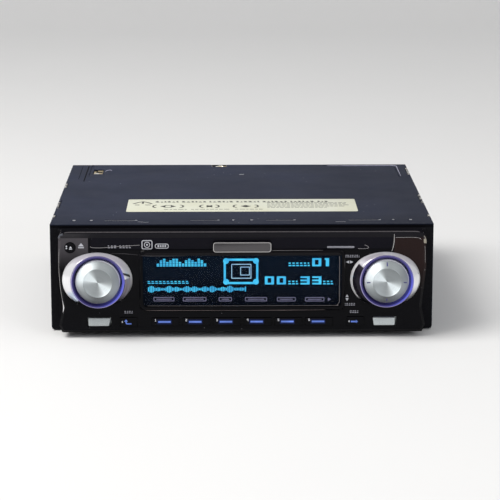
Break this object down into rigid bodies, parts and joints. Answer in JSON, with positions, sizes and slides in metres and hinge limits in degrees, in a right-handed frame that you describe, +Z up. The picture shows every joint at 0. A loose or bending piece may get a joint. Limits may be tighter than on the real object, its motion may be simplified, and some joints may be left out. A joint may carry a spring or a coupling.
{
  "type": "car stereo head unit",
  "caption": "Slot-mounted car stereo with a motorised front panel that slides out and tilts back from a disc slot, two round knobs, a wide display and a row of keys.",
  "frame": {"origin": "centre of the chassis underside", "axes": "+Z up, the front looks along -Y, +X is to the right of a person who faces the front"},
  "size_m": [0.178, 0.1893, 0.05],
  "materials": {
    "cover_paint": "satin dark slate paint",
    "bare_steel": "zinc-plated, satin",
    "spring_brass": "bare, satin",
    "black_moulding": "fine matt texture",
    "gloss_black": "polished black",
    "smoked_lens": "clear, polished",
    "display_cell": "dark, lit from behind",
    "bezel_chrome": "mirror chrome",
    "knob_metal": "turned, satin",
    "light_guide": "milky violet, lit",
    "silver_key": "silver lacquer",
    "board_green": "solder mask",
    "chip_black": "matt",
    "iron_core": "varnished iron",
    "sink_alloy": "extruded, satin",
    "socket_plastic": "matt",
    "fuse_plastic": "clear orange",
    "damper_rubber": "soft",
    "gear_plastic": "acetal, natural",
    "guide_plastic": "acetal, black",
    "motor_steel": "plated can"
  },
  "bodies": {
    "case": {"chassis_case": "cover_paint", "top_cover": "cover_paint", "ground_springs": "spring_brass", "nose_frame": "black_moulding", "rear_plate": "bare_steel", "heat_sink": "sink_alloy", "main_board": "board_green", "amp_chip": "chip_black", "power_choke": "iron_core", "tuner_module": "bare_steel", "aerial_socket": "bare_steel", "line_sockets": "socket_plastic", "power_socket": "socket_plastic", "blade_fuse": "fuse_plastic", "screws": "bare_steel", "deck_frame": "bare_steel", "deck_brackets": "bare_steel", "deck_dampers": "damper_rubber", "spindle_motor": "motor_steel", "load_motor": "motor_steel", "sled_rails": "bare_steel", "sled_motor": "motor_steel", "arm_guides": "guide_plastic", "panel_motor": "motor_steel"},
    "carriage": {"panel_arms": "bare_steel"},
    "panel": {"panel_shell": "gloss_black", "panel_back": "black_moulding", "display_lens": "smoked_lens", "display_module": "display_cell", "panel_board": "board_green", "key_switches": "chip_black", "bezels": "bezel_chrome", "light_rings": "light_guide", "volume_encoder": "bare_steel", "cross_base": "socket_plastic"},
    "cross_shaft": {"drive_shaft": "bare_steel"},
    "motor_shaft": {"motor_pinion": "spring_brass"},
    "volume": {"volume_shaft": "bare_steel", "volume_knob": "knob_metal"},
    "gimbal": {"cross_gimbal": "gear_plastic"},
    "four_way": {"cross_stem": "gear_plastic", "cross_knob": "knob_metal"},
    "spindle": {"turntable": "gear_plastic"},
    "sled": {"pickup_sled": "guide_plastic"},
    "screw": {"lead_screw": "bare_steel"},
    "holder": {"cartridge_holder": "bare_steel"},
    "cam": {"cam_slide": "bare_steel"},
    "loader": {"load_pinion": "gear_plastic"},
    "soft_key_1": {"soft_key_1": "gloss_black"},
    "soft_key_2": {"soft_key_2": "gloss_black"},
    "soft_key_3": {"soft_key_3": "gloss_black"},
    "soft_key_4": {"soft_key_4": "gloss_black"},
    "soft_key_5": {"soft_key_5": "gloss_black"},
    "soft_key_6": {"soft_key_6": "gloss_black"},
    "back_key": {"back_key": "gloss_black"},
    "next_key": {"next_key": "gloss_black"},
    "silver_key_left": {"silver_key_left": "silver_key"},
    "silver_key_right": {"silver_key_right": "silver_key"},
    "open_key": {"open_key": "gloss_black"}
  },
  "joints": [
    {"name": "panel_slide", "type": "slide", "parent": "case", "child": "carriage", "axis": [0, -1, 0], "range_m": [0, 0.044]},
    {"name": "panel_tilt", "type": "hinge", "parent": "carriage", "child": "panel", "pos_m": [0, -0.0854, 0.0065], "axis": [-1, 0, 0], "range_deg": [0, 60]},
    {"name": "shaft_turn", "type": "hinge", "parent": "case", "child": "cross_shaft", "pos_m": [0, -0.062, 0.0145], "axis": [-1, 0, 0], "range_deg": [0, 421]},
    {"name": "motor_turn", "type": "hinge", "parent": "case", "child": "motor_shaft", "pos_m": [-0.0585, -0.0484, 0.0145], "axis": [1, 0, 0], "range_deg": [0, 1009]},
    {"name": "volume_turn", "type": "hinge", "parent": "panel", "child": "volume", "pos_m": [-0.066, -0.0935, 0.0272], "axis": [0, 1, 0], "continuous": true},
    {"name": "four_way_side", "type": "hinge", "parent": "panel", "child": "gimbal", "pos_m": [0.066, -0.0899, 0.0272], "axis": [0, 0, 1], "range_deg": [-2.5, 2.5], "stiffness_Nm_per_rad": 0.5},
    {"name": "four_way_up", "type": "hinge", "parent": "gimbal", "child": "four_way", "pos_m": [0.066, -0.0899, 0.0272], "axis": [1, 0, 0], "range_deg": [-2.5, 2.5], "stiffness_Nm_per_rad": 0.5},
    {"name": "spindle_turn", "type": "hinge", "parent": "case", "child": "spindle", "pos_m": [0, -0.034, 0.03], "axis": [0, 0, 1], "continuous": true},
    {"name": "sled_slide", "type": "slide", "parent": "case", "child": "sled", "axis": [0, 1, 0], "range_m": [0, 0.016]},
    {"name": "screw_turn", "type": "hinge", "parent": "case", "child": "screw", "pos_m": [-0.021, 0, 0.0302], "axis": [0, 1, 0], "range_deg": [0, 1921]},
    {"name": "cam_travel", "type": "slide", "parent": "case", "child": "cam", "axis": [0, 1, 0], "range_m": [0, 0.009]},
    {"name": "holder_drop", "type": "slide", "parent": "case", "child": "holder", "axis": [0, 0, -1], "range_m": [0, 0.0055]},
    {"name": "load_turn", "type": "hinge", "parent": "case", "child": "loader", "pos_m": [0.0413, 0.016, 0.0316], "axis": [-1, 0, 0], "range_deg": [0, 172]},
    {"name": "soft_key_1_press", "type": "slide", "parent": "panel", "child": "soft_key_1", "axis": [0, 1, 0], "range_m": [0, 0.0008], "stiffness_N_per_m": 1000, "springref_m": -0.0005},
    {"name": "soft_key_2_press", "type": "slide", "parent": "panel", "child": "soft_key_2", "axis": [0, 1, 0], "range_m": [0, 0.0008], "stiffness_N_per_m": 1000, "springref_m": -0.0005},
    {"name": "soft_key_3_press", "type": "slide", "parent": "panel", "child": "soft_key_3", "axis": [0, 1, 0], "range_m": [0, 0.0008], "stiffness_N_per_m": 1000, "springref_m": -0.0005},
    {"name": "soft_key_4_press", "type": "slide", "parent": "panel", "child": "soft_key_4", "axis": [0, 1, 0], "range_m": [0, 0.0008], "stiffness_N_per_m": 1000, "springref_m": -0.0005},
    {"name": "soft_key_5_press", "type": "slide", "parent": "panel", "child": "soft_key_5", "axis": [0, 1, 0], "range_m": [0, 0.0008], "stiffness_N_per_m": 1000, "springref_m": -0.0005},
    {"name": "soft_key_6_press", "type": "slide", "parent": "panel", "child": "soft_key_6", "axis": [0, 1, 0], "range_m": [0, 0.0008], "stiffness_N_per_m": 1000, "springref_m": -0.0005},
    {"name": "back_key_press", "type": "slide", "parent": "panel", "child": "back_key", "axis": [0, 1, 0], "range_m": [0, 0.0008], "stiffness_N_per_m": 1000, "springref_m": -0.0005},
    {"name": "next_key_press", "type": "slide", "parent": "panel", "child": "next_key", "axis": [0, 1, 0], "range_m": [0, 0.0008], "stiffness_N_per_m": 1000, "springref_m": -0.0005},
    {"name": "silver_key_left_press", "type": "slide", "parent": "panel", "child": "silver_key_left", "axis": [0, 1, 0], "range_m": [0, 0.0008], "stiffness_N_per_m": 1000, "springref_m": -0.0005},
    {"name": "silver_key_right_press", "type": "slide", "parent": "panel", "child": "silver_key_right", "axis": [0, 1, 0], "range_m": [0, 0.0008], "stiffness_N_per_m": 1000, "springref_m": -0.0005},
    {"name": "open_key_press", "type": "slide", "parent": "panel", "child": "open_key", "axis": [0, 1, 0], "range_m": [0, 0.0008], "stiffness_N_per_m": 1000, "springref_m": -0.0005}
  ],
  "couplings": [
    {"joint": "panel_tilt", "follows": "panel_slide", "rad_per_m": 23.79},
    {"joint": "shaft_turn", "follows": "panel_slide", "rad_per_m": 166.67},
    {"joint": "motor_turn", "follows": "panel_slide", "rad_per_m": 400},
    {"joint": "screw_turn", "follows": "sled_slide", "rad_per_m": 2094.4},
    {"joint": "holder_drop", "follows": "cam_travel", "ratio": 0.61111},
    {"joint": "load_turn", "follows": "cam_travel", "rad_per_m": 333.33}
  ]
}
